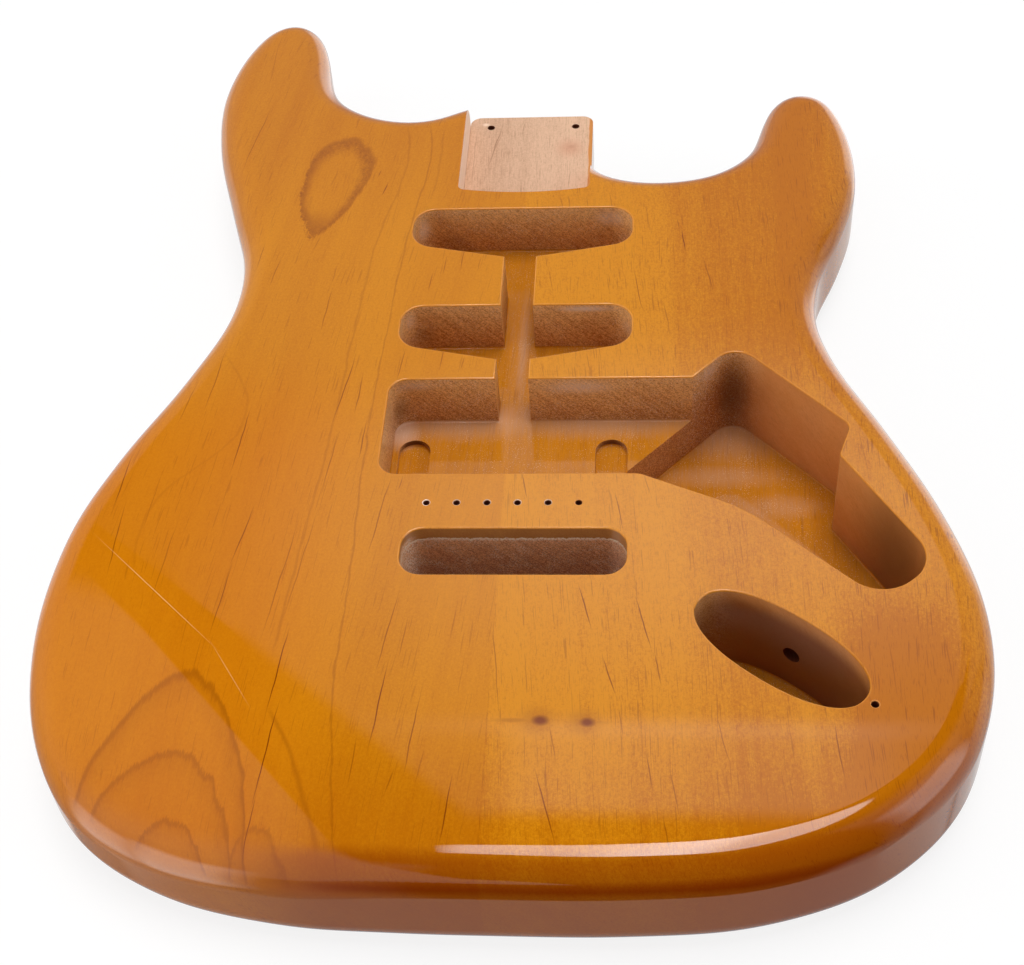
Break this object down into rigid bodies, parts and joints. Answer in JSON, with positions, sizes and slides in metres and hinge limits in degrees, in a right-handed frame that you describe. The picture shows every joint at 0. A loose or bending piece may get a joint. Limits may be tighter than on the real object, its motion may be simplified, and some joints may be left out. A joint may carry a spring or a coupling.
{
  "type": "electric guitar body",
  "caption": "Double-cutaway electric guitar body for a bolt-on neck, routed and drilled, in amber-stained wood under clear gloss lacquer.",
  "frame": {"origin": "centre of the box of the body, on the plane of its flat back, which it lies on", "axes": "+X towards the treble side with its controls, +Y along the strings towards the neck, +Z out of the playing face"},
  "size_m": [0.329, 0.4664, 0.0445],
  "materials": {
    "bass_board_wood": "amber stain under clear gloss lacquer",
    "treble_board_wood": "amber stain under clear gloss lacquer"
  },
  "bodies": {
    "root": {"bass_side_board": "bass_board_wood", "treble_side_board": "treble_board_wood"}
  },
  "joints": []
}
